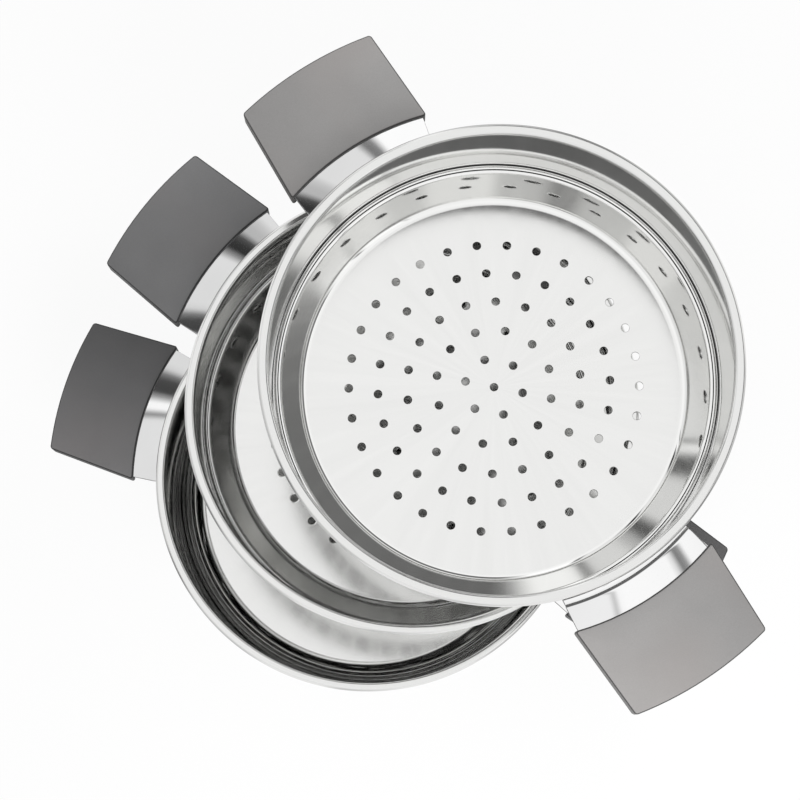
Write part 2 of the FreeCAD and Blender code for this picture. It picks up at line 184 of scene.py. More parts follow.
def points_between(start, stop, steps):
    """Even points along a straight line, without its ends."""
    points = []
    for step in range(1, steps):
        share = step / steps
        points.append((start[0] + (stop[0] - start[0]) * share, start[1] + (stop[1] - start[1]) * share))
    return points


def rounded_outline(corners):
    """Points along an outline through corners (x, y) or (x, y, bend radius), with guard points beside each
    bend. An open outline starts and ends at corners with no bend."""
    spots = [Vector(corner[:2]) for corner in corners]
    points = []
    for index, corner in enumerate(corners):
        spot = spots[index]
        if len(corner) == 2:
            points.append(spot)
            continue
        bend = corner[2]
        back = spots[index - 1] - spot
        ahead = spots[(index + 1) % len(spots)] - spot
        half_angle = back.angle(ahead) / 2
        reach = bend / math.tan(half_angle)
        back.normalize()
        ahead.normalize()
        centre = spot + (back + ahead).normalized() * (bend / math.sin(half_angle))
        start = spot + back * reach
        stop = spot + ahead * reach
        sweep = (start - centre).angle_signed(stop - centre)
        guard = min(GUARD, bend)
        points.append(start + back * guard)
        for step in range(BEND_STEPS + 1):
            arm = start - centre
            arm.rotate(Matrix.Rotation(-sweep * step / BEND_STEPS, 2))
            points.append(centre + arm)
        points.append(stop + ahead * guard)
    return points


# ---------------------------------------------------------------- meshes


def mesh_object(name, mesh, place):
    """A smooth object of a bmesh drawn in millimetres in a vessel's axes. Its turn goes into the mesh."""
    bmesh.ops.recalc_face_normals(mesh, faces=mesh.faces)
    bmesh.ops.transform(mesh, matrix=place.to_3x3().to_4x4() @ Matrix.Scale(MM, 4), verts=mesh.verts)
    for face in mesh.faces:
        face.smooth = True
    data = bpy.data.meshes.new(name)
    mesh.to_mesh(data)
    mesh.free()
    piece = bpy.data.objects.new(name, data)
    bpy.context.scene.collection.objects.link(piece)
    piece.location = place.translation
    return piece


def lathe(mesh, outline):
    """Turns an outline of radius and height about Z into rings. A point on the axis becomes one vertex."""
    rings = []
    for point in outline:
        if point.x < ON_AXIS:
            rings.append([mesh.verts.new((0, 0, point.y))] * TURN_STEPS)
        else:
            rings.append([mesh.verts.new((x, y, point.y)) for x, y in circle(0, 0, point.x, TURN_STEPS)])
    return rings


def skin(mesh, rings):
    """Joins neighbouring rings with faces; each ring closes on itself."""
    for ring, following in zip(rings, rings[1:]):
        for index in range(len(ring)):
            onward = (index + 1) % len(ring)
            corners = [ring[index], ring[onward], following[onward], following[index]]
            corners = [vert for place, vert in enumerate(corners) if vert not in corners[:place]]
            if len(corners) > 2:
                mesh.faces.new(corners)


def closed_line(first, count):
    """The edges that join points to a closed line, from the first point's number on."""
    return [(first + step, first + (step + 1) % count) for step in range(count)]


def drain_centres():
    """The middles of the drain holes: one on the axis, and rings round it."""
    centres = [(0.0, 0.0)]
    for ring in range(1, DRAIN_RINGS + 1):
        reach = ring * DRAIN_PITCH
        holes = HOLES_PER_RING_STEP * ring
        for hole in range(holes):
            angle = 2 * math.pi * hole / holes - DRAIN_TURN
            centres.append((reach * math.cos(angle), reach * math.sin(angle)))
    return centres


def hole_wall(top, low):
    """Radius and height down a drain hole's wall, over its softened upper and lower edges."""
    edge = [
        (DRAIN_EDGE * (1 - math.sin(angle)), DRAIN_EDGE * (1 - math.cos(angle)))
        for angle in quarter_turn(DRAIN_EDGE_STEPS)
    ]
    upper = [(DRAIN_RADIUS + out, top - drop) for out, drop in edge]
    lower = [(DRAIN_RADIUS + out, low + drop) for out, drop in reversed(edge)]
    return upper + lower


def drilled_sheet(mesh, edge_top, edge_low, top, low):
    """Fills the floor between two lathe rings with a flat drilled sheet whose holes have softened edges."""
    centres = drain_centres()
    points = [Vector((vert.co.x, vert.co.y)) for vert in edge_top]
    edges = closed_line(0, len(points))
    holes = []
    for x, y in centres:
        hole = range(len(points), len(points) + HOLE_STEPS)
        points += [Vector(point) for point in circle(x, y, DRAIN_RADIUS + DRAIN_EDGE + GUARD, HOLE_STEPS)]
        edges += closed_line(hole.start, HOLE_STEPS)
        holes.append(hole)
    faces = delaunay_2d_cdt(points, edges, [], TRIANGLES_INSIDE, SAME_POINT)[2]
    plate = [face for face in faces if not any(all(index in hole for index in face) for hole in holes)]
    rims = []
    for height, edge in ((top, edge_top), (low, edge_low)):
        verts = list(edge) + [mesh.verts.new((point.x, point.y, height)) for point in points[len(edge):]]
        for face in plate:
            mesh.faces.new([verts[index] for index in face])
        rims.append([[verts[index] for index in hole] for hole in holes])
    for (x, y), top_rim, low_rim in zip(centres, *rims):
        wall = [
            [mesh.verts.new((*point, height)) for point in circle(x, y, radius, HOLE_STEPS)]
            for radius, height in hole_wall(top, low)
        ]
        skin(mesh, [top_rim, *wall, low_rim])


# ---------------------------------------------------------------- vessels


def rim_corners():
    """The rim's outline from the wall's inside to its outside, heights counted from the rim's plane."""
    return [
        (MOUTH, 0, RIM_LIP + SHEET),
        (RIM_RADIUS, 0, RIM_EDGE + SHEET),
        (RIM_RADIUS, -RIM_SKIRT, CUT_EDGE),
        (RIM_RADIUS - SHEET, -RIM_SKIRT, CUT_EDGE),
        (RIM_RADIUS - SHEET, -SHEET, RIM_EDGE),
        (WALL_OUTSIDE, -SHEET, RIM_LIP),
    ]


def make_basket(level, rim, bearing, height):
    """A basket's shell: drilled floor, tapered foot, nesting shoulder, straight wall and rim."""
    floor = SHEET - height
    ledge = -SHOULDER_DEPTH
    ledge_inner = MOUTH - SHOULDER_WIDTH
    taper = (ledge_inner - FLOOR_RADIUS) / (ledge - floor)
    # how far the outside's corners stand out from the inside's, a sheet's thickness lower
    outset = SHEET * (math.hypot(1, taper) - taper)
    flat = FLOOR_RADIUS - FLOOR_BEND - GUARD
    corners = [
        (flat, floor),
        (FLOOR_RADIUS, floor, FLOOR_BEND),
        (ledge_inner, ledge, SHOULDER_BEND + SHEET),
        (MOUTH, ledge, SHOULDER_BEND),
        *rim_corners(),
        (WALL_OUTSIDE, ledge - SHEET, SHOULDER_BEND + SHEET),
        (ledge_inner + outset, ledge - SHEET, SHOULDER_BEND),
        (FLOOR_RADIUS + outset, -height, FLOOR_BEND + SHEET),
        (flat, -height),
    ]
    mesh = bmesh.new()
    rings = lathe(mesh, rounded_outline(corners))
    skin(mesh, rings)
    drilled_sheet(mesh, rings[0], rings[-1], floor, -height)
    return mesh_object(f"{level}_basket_shell", mesh, in_place(rim, bearing))


def turned_piece(name, corners, place):
    """A piece turned from an outline that starts and ends on the axis."""
    mesh = bmesh.new()
    skin(mesh, lathe(mesh, rounded_outline(corners)))
    return mesh_object(name, mesh, place)


def make_pan(rim, bearing, height):
    """The water pan's shell, open upward, on its flat floor."""
    corners = [
        (0, SHEET - height),
        (MOUTH, SHEET - height, PAN_BEND),
        *rim_corners(),
        (WALL_OUTSIDE, -height, PAN_BEND + SHEET),
        (0, -height),
    ]
    return turned_piece("bottom_pan_shell", corners, in_place(rim, bearing))


def make_base_cap(rim, bearing):
    """The steel cup round the heat-spreading disc, as wide and as high as in the frame."""
    low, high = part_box("bottom_base_cap")
    outside = (high.x - low.x) / 2 / MM
    bottom = (low.z - rim.z) / MM
    top = (high.z - rim.z) / MM
    corners = [
        (0, bottom),
        (outside, bottom, CAP_BEND),
        (outside, top, CUT_EDGE),
        (outside - SHEET, top, CUT_EDGE),
        (outside - SHEET, bottom + SHEET, CUT_EDGE),
        (0, bottom + SHEET),
    ]
    return turned_piece("bottom_base_cap_shell", corners, in_place(rim, bearing))


# ---------------------------------------------------------------- handles


def strap_corners(slack):
    """The bracket's section as radius and height; slack widens it all round. A face of its slope passes the
    grip's inner end at bury, and a face of its tongue lies at depth, both under the grip's sloping top."""
    slope_skin = math.hypot(1, STRAP_SLOPE)
    tilt_skin = math.hypot(1, GRIP_TILT)
    foot_back = WALL_OUTSIDE + STRAP_GAP - slack
    foot_face = WALL_OUTSIDE + STRAP_GAP + STRAP_SHEET + slack
    end = GRIP_INNER + TONGUE_REACH + slack

    def on_slope(x, bury):
        return STRAP_SLOPE * (x - GRIP_INNER) - GRIP_DROP - bury

    def knee(bury, depth):
        x = GRIP_INNER + (bury - depth) / (STRAP_SLOPE - GRIP_TILT)
        return x, on_slope(x, bury)

    def on_tongue(depth):
        return GRIP_TILT * (end - GRIP_INNER) - GRIP_DROP - depth

    top_bury = STRAP_BURY - slack * slope_skin
    top_depth = TONGUE_DEPTH - slack * tilt_skin
    low_bury = STRAP_BURY + (STRAP_SHEET + slack) * slope_skin
    low_depth = TONGUE_DEPTH + (STRAP_SHEET + slack) * tilt_skin
    return [
        (foot_back, -STRAP_TOP, CUT_EDGE),
        (foot_back, on_slope(foot_back, low_bury), STRAP_BEND + STRAP_SHEET + slack),
        (*knee(low_bury, low_depth), TONGUE_BEND - slack),
        (end, on_tongue(low_depth), CUT_EDGE),
        (end, on_tongue(top_depth), CUT_EDGE),
        (*knee(top_bury, top_depth), TONGUE_BEND + STRAP_SHEET + slack),
        (foot_face, on_slope(foot_face, top_bury), STRAP_BEND - slack),
        (foot_face, -STRAP_TOP, CUT_EDGE),
    ]


def strap_half_width(radius):
    """Half the bracket's width at a radius: its foot, its sides up to the grip, then the narrowing tongue."""
    stations = [
        (WALL_OUTSIDE, STRAP_FOOT_HALF),
        (RIM_RADIUS, STRAP_FOOT_HALF),
        (GRIP_INNER, GRIP_INNER_HALF - STRAP_INSET),
        (GRIP_INNER + TONGUE_REACH, TONGUE_HALF),
    ]
    if radius <= WALL_OUTSIDE:
        return STRAP_FOOT_HALF
    for (near, near_half), (far, far_half) in zip(stations, stations[1:]):
        if radius <= far:
            return near_half + (far_half - near_half) * (radius - near) / (far - near)
    return TONGUE_HALF


def on_arc(radius, sideways, height):
    """The point this far from the vessel's axis and this far sideways of the handle's middle."""
    return math.sqrt(radius * radius - sideways * sideways), sideways, height


def strap_mesh(slack):
    """The bracket as a bmesh: its section carried round the vessel's axis between its two side lines."""
    mesh = bmesh.new()
    rings = []
    outline = rounded_outline(strap_corners(slack))
    for step in range(STRAP_STEPS + 1):
        across = 2 * step / STRAP_STEPS - 1
        ring = []
        for radius, height in outline:
            sideways = across * (strap_half_width(radius) + slack)
            ring.append(mesh.verts.new(on_arc(radius, sideways, height)))
        rings.append(ring)
    skin(mesh, rings)
    mesh.faces.new(rings[0])
    mesh.faces.new(reversed(rings[-1]))
    return mesh


def apply_modifiers(piece):
    """Turns the piece's modifiers into its mesh."""
    depsgraph = bpy.context.evaluated_depsgraph_get()
    baked = bpy.data.meshes.new_from_object(piece.evaluated_get(depsgraph))
    piece.modifiers.clear()
    piece.data = baked


def make_bracket(level, side, place):
    """The bracket, with softened edges."""
    piece = mesh_object(f"{level}_{side}_strap", strap_mesh(0), place)
    bevel = piece.modifiers.new("soft_edges", "BEVEL")
    bevel.width = STRAP_EDGE * MM
    bevel.segments = STRAP_EDGE_STEPS
    bevel.limit_method = "ANGLE"
    bevel.angle_limit = STRAP_EDGE_ANGLE
    bevel.harden_normals = True
    apply_modifiers(piece)
    return piece


def grip_half_width(along):
    """Half the grip's width at a distance from its inner edge."""
    return GRIP_INNER_HALF + (GRIP_OUTER_HALF - GRIP_INNER_HALF) * along / GRIP_REACH


def grip_loop(inset):
    """One closed line round the grip, inset from its outline: distance from the inner edge, and sideways."""
    near = inset
    far = GRIP_REACH - inset
    radius = max(GRIP_CORNER - inset, GRIP_LEAST_CORNER)
    arcs = []
    for turn, (along, side) in enumerate([(far, 1), (near, 1), (near, -1), (far, -1)]):
        centre_along = along - radius if along == far else along + radius
        centre_side = side * (grip_half_width(along) - inset - radius)
        angles = [turn * math.pi / 2 + angle for angle in quarter_turn(GRIP_CORNER_STEPS)]
        arcs.append([
            (centre_along + radius * math.cos(angle), centre_side + radius * math.sin(angle))
            for angle in angles
        ])
    points = []
    for arc, next_arc in zip(arcs, arcs[1:] + arcs[:1]):
        points += arc + points_between(arc[-1], next_arc[0], GRIP_SIDE_STEPS)
    return points


def grip_ring(mesh, inset, lift):
    """Vertices round the grip, inset from its outline and lifted from its sloping top line."""
    return [
        mesh.verts.new(on_arc(GRIP_INNER + along, sideways, GRIP_TILT * along - GRIP_DROP + lift))
        for along, sideways in grip_loop(inset)
    ]


def grip_mesh():
    """The rounded slab as a bmesh, from the middle of its flat underside to that of its crowned top."""
    mesh = bmesh.new()
    middle = GRIP_INSETS[0]
    rings = [grip_ring(mesh, inset, -GRIP_HEIGHT) for inset in GRIP_INSETS]
    for angle in quarter_turn(BEND_STEPS):
        rise = GRIP_EDGE * (1 - math.cos(angle))
        rings.append(grip_ring(mesh, GRIP_EDGE * (1 - math.sin(angle)), rise - GRIP_HEIGHT))
    for angle in quarter_turn(BEND_STEPS):
        drop = GRIP_EDGE * (1 - math.sin(angle))
        rings.append(grip_ring(mesh, GRIP_EDGE * (1 - math.cos(angle)), -GRIP_CROWN - drop))
    for inset in reversed(GRIP_INSETS):
        inward = (inset - GRIP_EDGE) / (middle - GRIP_EDGE)
        rings.append(grip_ring(mesh, inset, -GRIP_CROWN * (1 - inward) ** 2))
    skin(mesh, rings)
    mesh.faces.new(reversed(rings[0]))
    mesh.faces.new(rings[-1])
    return mesh


def bore_mesh(side):
    """What is bored out of the grip's underside, on one side of its middle, for a screw's head."""
    underside = GRIP_TILT * SCREW_SETBACK - GRIP_DROP - GRIP_HEIGHT
    centre = (GRIP_INNER + SCREW_SETBACK, side * SCREW_HALF_SPREAD, underside)
    mesh = bmesh.new()
    bmesh.ops.create_cone(
        mesh, cap_ends=True, segments=BORE_STEPS, radius1=HEAD_HOLE_RADIUS, radius2=HEAD_HOLE_RADIUS,
        depth=2 * HEAD_SINK, matrix=Matrix.Translation(centre),
    )
    return mesh


def cut_away(piece, tools):
    """Cuts the tools out of a piece, and deletes them."""
    for tool in tools:
        cut = piece.modifiers.new("cut", "BOOLEAN")
        cut.operation = "DIFFERENCE"
        cut.solver = "EXACT"
        cut.object = tool
    apply_modifiers(piece)
    for tool in tools:
        bpy.data.objects.remove(tool)


def make_grip(level, side, place):
    """The moulded grip: its slab, slotted for the tongue and bored for its screws."""
    piece = mesh_object(f"{level}_{side}_handgrip", grip_mesh(), place)
    tools = [mesh_object("slot_tool", strap_mesh(SLOT_SLACK), place)]
    tools += [mesh_object("bore_tool", bore_mesh(half), place) for half in (1, -1)]
    cut_away(piece, tools)
    return piece


# ---------------------------------------------------------------- shading


class Shading:
    """A node tree, written as formulas: each method adds nodes and returns the output with the result."""

    def __init__(self, tree):
        self.nodes = tree.nodes
        self.links = tree.links

    def feed(self, socket, value):
        """Links an output to a socket, or sets the socket to a number or a colour."""
        if isinstance(value, tuple):
            socket.default_value = (*value, 1)
        elif isinstance(value, (int, float)):
            socket.default_value = value
        else:
            self.links.new(value, socket)

    def node(self, kind, *values, **named_values):
        """A new node with its inputs fed, in their order or by name. None leaves an input as it is."""
        node = self.nodes.new(kind)
        for key, value in [*enumerate(values), *named_values.items()]:
            if value is not None:
                self.feed(node.inputs[key], value)
        return node

    def math(self, operation, first, second=None):
        node = self.node("ShaderNodeMath", first, second)
        node.operation = operation
        return node.outputs[0]

    def ramp(self, value, span, ends=(0.0, 1.0)):
        """From one end to the other as the value crosses a span, and no further outside it."""
        return self.node("ShaderNodeMapRange", value, *span, *ends).outputs[0]

    def window(self, value, edges):
        """1 between the inner two of four rising edges, falling to 0 at the outer two."""
        rise = self.ramp(value, edges[:2])
        fall = self.ramp(value, edges[2:], (1.0, 0.0))
        return self.math("MULTIPLY", rise, fall)

    def mix(self, share, first, second):
        """A number between two others."""
        return self.node("ShaderNodeMix", share, None, first, second).outputs[0]

    def blend(self, share, first, second):
        """A colour between two others."""
        return self.node("ShaderNodeMixRGB", share, first, second).outputs[0]

    def blend_shades(self, share, color, shades):
        """A colour between two shades of one."""
        return self.blend(share, shade(color, shades[0]), shade(color, shades[1]))

    def tint(self, color, tone):
        """A colour times a tone."""
        node = self.node("ShaderNodeMixRGB", 1.0, color, tone)
        node.blend_type = "MULTIPLY"
        return node.outputs[0]

    def greys(self, turn, stops):
        """Greys between stops, each a bearing in degrees and a tone, at a share of a turn from -180."""
        node = self.node("ShaderNodeValToRGB", turn)
        marks = node.color_ramp.elements
        while len(marks) < len(stops):
            marks.new(0.5)
        for mark, (bearing, tone) in zip(marks, stops):
            mark.position = (bearing + 180) / 360
            mark.color = (tone, tone, tone, 1)
        return node.outputs[0]

    def noise(self, vector, kind):
        """A noise of a kind that is given as scale, detail and roughness."""
        scale, detail, roughness = kind
        return self.node(
            "ShaderNodeTexNoise", Vector=vector, Scale=scale, Detail=detail, Roughness=roughness
        ).outputs[0]

    def bump(self, height, strength, distance):
        return self.node("ShaderNodeBump", Height=height, Strength=strength, Distance=distance).outputs[0]

    def combine(self, x, y, z):
        return self.node("ShaderNodeCombineXYZ", x, y, z).outputs[0]

    def split(self, vector):
        return self.node("ShaderNodeSeparateXYZ", vector).outputs

    def square(self, value):
        return self.math("POWER", value, 2.0)

    def axis_distance(self, x, y):
        """The distance from the vertical axis through the origin."""
        return self.math("SQRT", self.math("ADD", self.square(x), self.square(y)))

    def object_place(self):
        """The piece's own coordinates, whole and split, and its surface's direction there, split."""
        coordinates = self.node("ShaderNodeTexCoord").outputs
        place = coordinates["Object"]
        return place, self.split(place), self.split(coordinates["Normal"])

    def any_ray(self, *kinds):
        """1 for a ray of one of these kinds, else 0."""
        path = self.node("ShaderNodeLightPath").outputs
        total = path[kinds[0]]
        for kind in kinds[1:]:
            total = self.math("ADD", total, path[kind])
        return self.math("MINIMUM", total, 1.0)


def new_material(name):
    """A material with its shading and its shader."""
    material = bpy.data.materials.new(name)
    material.use_nodes = True
    return material, Shading(material.node_tree), material.node_tree.nodes["Principled BSDF"]


def shade(color, share):
    """A colour times a share, with no channel over 1."""
    return tuple(min(1.0, channel * share) for channel in color)


def offset(value, steps):
    """A number with each of the steps added to it."""
    return tuple(value + step for step in steps)


# ---------------------------------------------------------------- materials

# noises, as scale, detail and roughness
TURNED_LINES = (2600.0, 3.0, 0.6)
FLOOR_STREAKS = (11.0, 4.0, 0.6)
WALL_SMEARS = (24.0, 4.0, 0.5)
GRIP_GRAIN = (1900.0, 2.0, 0.6)
GRIP_MOTTLE = (60.0, 3.0, 0.5)
GRIP_CLOUDS = (16.0, 1.0, 0.5)

# the spans of a noise that a tone or a roughness follows
NOISE_SPAN = (0.3, 0.7)
SMEAR_SPAN = (0.35, 0.7)
CLOUD_SPAN = (0.4, 0.65)

# how far a surface faces sideways as it turns into a cut edge, and up as it turns into a floor or a grip's
# top; the last is a window in which it counts as a grip's rounded edge
CUT_FACING = (0.15, 0.5)
FLOOR_FACING = (0.97, 0.999)
TOP_FACING = (0.94, 0.991)
ROUNDED_FACING = (0.10, 0.35, 0.90, 0.96)

# steel: roughness, and what the smears and streaks add to it
WALL_ROUGHER = (-0.01, 0.02)
FLOOR_ROUGHER = (-0.02, 0.03)
CUT_ROUGHNESS = 0.35
# shares of its colour
WALL_SHADES = (0.975, 1.01)
FLOOR_SHADES = (0.905, 0.945)
# painted shade on the rim, which dims the white that it mirrors
RIM_PAINTED_SHADE = 0.89
CUT_SHADE = 0.4
# the rim's fade, the turned lines' depth and the least radius that anything is divided by, in millimetres
RIM_FADE = 1.0
LINE_RELIEF = 0.01
LEAST_RADIUS = 0.1

# grips: shares of their colour
GRAIN_SHADES = (0.93, 1.07)
# painted shade on the grips' sides, and a darker painted outline on their rounded edges
PAINTED_SIDE_SHADES = (0.60, 0.26)
WARMTH = (1.09, 1.03, 1.01)
# painted light beside the vessel, against the shade that its wall casts on the grip
PAINTED_LIGHT_TONE = 1.10
# how much the grain, the mottle and the warm clouds count
GRAIN_SHARE = 0.6
MOTTLE_SHARE = 0.4
WARM_SHARE = 0.6
# how the plastic shines
GRIP_GLOSS = 0.25
GRIP_ROUGHNESS = (0.5, 0.62)
GRAIN_STRENGTH = 0.25
# the width of the painted light beside the vessel and the grain's depth, in millimetres
PAINTED_LIGHT_WIDTH = 20.0
GRAIN_RELIEF = 0.08


def steel_material(name, color, polish, floor_polish, line_depth, rim_polish=None):
    """Polished steel: fine lines turned round the axis, soft smears on walls, radial streaks on flat floors
    and dull cut edges. With rim_polish the rim has a roughness of its own and a darker colour, painted shade
    that dims the white it mirrors."""
    material, shading, shader = new_material(name)
    shader.inputs["Metallic"].default_value = 1.0
    place, (x, y, z), (facing_x, facing_y, up) = shading.object_place()
    radius = shading.math("MAXIMUM", shading.axis_distance(x, y), LEAST_RADIUS * MM)
    along_x = shading.math("DIVIDE", x, radius)
    along_y = shading.math("DIVIDE", y, radius)
    ahead = shading.math("MULTIPLY", along_x, facing_y)
    sideways = shading.math("SUBTRACT", ahead, shading.math("MULTIPLY", along_y, facing_x))
    cut = shading.ramp(shading.math("ABSOLUTE", sideways), CUT_FACING)
    flat = shading.ramp(up, FLOOR_FACING)
    lines = shading.noise(shading.combine(None, radius, z), TURNED_LINES)
    streaks = shading.noise(shading.combine(along_x, along_y, radius), FLOOR_STREAKS)
    smears = shading.noise(place, WALL_SMEARS)
    wall_rough = shading.ramp(smears, SMEAR_SPAN, offset(polish, WALL_ROUGHER))
    floor_rough = shading.ramp(streaks, NOISE_SPAN, offset(floor_polish, FLOOR_ROUGHER))
    rough = shading.mix(flat, wall_rough, floor_rough)
    wall_tone = shading.blend_shades(shading.ramp(smears, NOISE_SPAN), color, WALL_SHADES)
    floor_tone = shading.blend_shades(shading.ramp(streaks, NOISE_SPAN), color, FLOOR_SHADES)
    tone = shading.blend(flat, wall_tone, floor_tone)
    if rim_polish is not None:
        at_rim = shading.ramp(z, (-(RIM_SKIRT + RIM_FADE) * MM, -RIM_SKIRT * MM))
        rough = shading.mix(at_rim, rough, rim_polish)
        # painted shade: the rim's colour darker to dim its reflection
        tone = shading.blend(at_rim, tone, shade(color, RIM_PAINTED_SHADE))
    shading.feed(shader.inputs["Roughness"], shading.mix(cut, rough, CUT_ROUGHNESS))
    shading.feed(shader.inputs["Base Color"], shading.blend(cut, tone, shade(color, CUT_SHADE)))
    shading.feed(shader.inputs["Normal"], shading.bump(lines, line_depth, LINE_RELIEF * MM))
    return material


def end_to_end(shading, x, y, bearing):
    """From -1 to 1 over the width of the handle at a bearing, counted anticlockwise round the vessel, and
    the same over the opposite handle."""
    span = GRIP_INNER_HALF * (GRIP_INNER + GRIP_OUTER) / 2 * MM ** 2
    product = shading.math("MULTIPLY", x, y)
    squares = shading.math("SUBTRACT", shading.square(x), shading.square(y))
    across = shading.math("MULTIPLY", product, math.cos(2 * bearing) / span)
    astray = shading.math("MULTIPLY", squares, math.sin(2 * bearing) / 2 / span)
    return shading.math("SUBTRACT", across, astray)


def grip_material(name, color, bearing, light_falloff):
    """Matte moulded plastic: a fine even grain, a faint mottle and warm clouds. On the top, painted light:
    its tone falls off from end to end, and it is paler beside the vessel against the shade there. The sides
    are darker with painted shade, and the rounded edges darker still, a painted outline."""
    material, shading, shader = new_material(name)
    shader.inputs["Specular IOR Level"].default_value = GRIP_GLOSS
    place, (x, y, _), (_, _, up) = shading.object_place()
    grain = shading.noise(place, GRIP_GRAIN)
    grain_share = shading.ramp(grain, NOISE_SPAN, (0.0, GRAIN_SHARE))
    mottle_share = shading.ramp(shading.noise(place, GRIP_MOTTLE), NOISE_SPAN, (0.0, MOTTLE_SHARE))
    warm_share = shading.ramp(shading.noise(place, GRIP_CLOUDS), CLOUD_SPAN, (0.0, WARM_SHARE))
    warm = tuple(channel * share for channel, share in zip(color, WARMTH))
    top = shading.blend_shades(shading.math("ADD", grain_share, mottle_share), color, GRAIN_SHADES)
    top = shading.blend(warm_share, top, warm)
    # painted light falling off across the grip from end to end
    across = shading.ramp(end_to_end(shading, x, y, bearing), (-1.0, 1.0), (1 - light_falloff, 1 + light_falloff))
    # painted light: the top is paler beside the vessel, against the shade its wall casts there
    painted_light_span = (GRIP_INNER * MM, (GRIP_INNER + PAINTED_LIGHT_WIDTH) * MM)
    outward = shading.ramp(shading.axis_distance(x, y), painted_light_span, (PAINTED_LIGHT_TONE, 1.0))
    top = shading.tint(top, shading.math("MULTIPLY", across, outward))
    # painted shade: darker sides, and a darker painted outline on the rounded edges
    side = shading.blend_shades(shading.window(up, ROUNDED_FACING), color, PAINTED_SIDE_SHADES)
    shading.feed(shader.inputs["Base Color"], shading.blend(shading.ramp(up, TOP_FACING), side, top))
    shading.feed(shader.inputs["Roughness"], shading.ramp(grain, NOISE_SPAN, GRIP_ROUGHNESS))
    shading.feed(shader.inputs["Normal"], shading.bump(grain, GRAIN_STRENGTH, GRAIN_RELIEF * MM))
    return material


# ---------------------------------------------------------------- the object

vessel_steel = steel_material(
    "polished_steel", (0.91, 0.91, 0.90), polish=0.045, floor_polish=0.13, line_depth=0.01, rim_polish=0.16
)
bracket_steel = steel_material(
    "bracket_steel", (0.93, 0.93, 0.93), polish=0.03, floor_polish=0.03, line_depth=0.005
)
cap_steel = steel_material(
    "base_cap_steel", (0.78, 0.78, 0.77), polish=0.2, floor_polish=0.25, line_depth=0.25
)
screw_steel = steel_material(
    "screw_steel", (0.66, 0.66, 0.66), polish=0.22, floor_polish=0.25, line_depth=0.1
)
disc_aluminium = steel_material(
    "disc_aluminium", (0.78, 0.79, 0.80), polish=0.3, floor_polish=0.35, line_depth=0.3
)
# one grey plastic in three lit and shaded copies: painted light makes the top tier's grips paler, painted
# shade the lower tiers' darker
GRIP_TONES_AS_LIT = {"top": (0.256, 0.251, 0.248), "middle": (0.166, 0.166, 0.168), "bottom": (0.126, 0.125, 0.127)}
# painted light: how far each tier's grip tone falls off from one end of the grip to the other
GRIP_LIGHT_FALLOFFS = {"top": -0.10, "middle": -0.16, "bottom": 0.28}


def finish_piece(piece, body, node, material):
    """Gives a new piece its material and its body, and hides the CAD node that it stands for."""
    piece.data.materials.clear()
    piece.data.materials.append(material)
    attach(piece, body)
    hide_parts(node)


def paint_node(node, material):
    """Gives a carried-over CAD node its finish."""
    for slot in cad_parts[node].material_slots:
        slot.material = material


for level, body in BODY_OF_LEVEL.items():
    rim, height = vessel_place(level)
    bearing = handle_bearing(level, "left", rim)
    if level == "bottom":
        shell = make_pan(rim, bearing, height)
        finish_piece(make_base_cap(rim, bearing), body, "bottom_base_cap", cap_steel)
        paint_node("bottom_base_disc", disc_aluminium)
    else:
        shell = make_basket(level, rim, bearing, height)
    finish_piece(shell, body, SHELL_OF_LEVEL[level], vessel_steel)
    # each tier's grips get their own lit or shaded copy of the one plastic, painted light and shade
    lit_grip_plastic = grip_material(f"{level}_lit_grip_plastic", GRIP_TONES_AS_LIT[level], bearing, GRIP_LIGHT_FALLOFFS[level])
    for side in ("left", "right"):
        handle_place = in_place(rim, handle_bearing(level, side, rim))
        bracket = make_bracket(level, side, handle_place)
        finish_piece(bracket, body, f"{level}_{side}_bracket", bracket_steel)
        grip = make_grip(level, side, handle_place)
        finish_piece(grip, body, f"{level}_{side}_grip", lit_grip_plastic)
        paint_node(f"{level}_{side}_grip_screws", screw_steel)


# ---------------------------------------------------------------- the stage

# the camera's place in metres from the middle of the top rim, its turn from looking straight down, as an
# axis times an angle in radians, and its lens
CAMERA_FROM_TOP_RIM = Vector((-0.0474, -0.1574, 0.9290))
CAMERA_TILT = Vector((0.150, -0.004, 0.0))
SENSOR_WIDTH = 36.0
FOCAL_IN_PIXELS = 2200.0
IMAGE_PIXELS = 800.0
NEAREST_SEEN = 0.01
FARTHEST_SEEN = 50.0

WHITE = (1.0, 1.0, 1.0)
FLOOR_SIZE = 12.0
FLOOR_COLOR = (0.93, 0.93, 0.93)
FLOOR_GLOW_SHARE = 0.88
WORLD_LIGHT = 0.65
BACKDROP_WHITE = 0.955

# The studio as metal mirrors it. Each stop is a bearing in degrees and a tone. The foot and the far floor:
FOOT_TONES = [
    (-180, 0.66), (-168, 0.60), (-163, 0.25), (-156, 0.25), (-150, 0.62), (-128, 0.66), (-122, 1.0),
    (-104, 1.0), (-98, 0.62), (-80, 1.0), (-58, 1.0), (-52, 0.6), (-34, 0.56), (-29, 0.24),
    (-22, 0.24), (-16, 0.6), (8, 0.7), (13, 1.0), (33, 1.0), (38, 0.66), (58, 0.6),
    (64, 0.25), (72, 0.25), (78, 0.6), (95, 0.64), (100, 1.0), (124, 1.0), (129, 0.64),
    (142, 0.62), (148, 1.0), (166, 1.0), (172, 0.66),
]
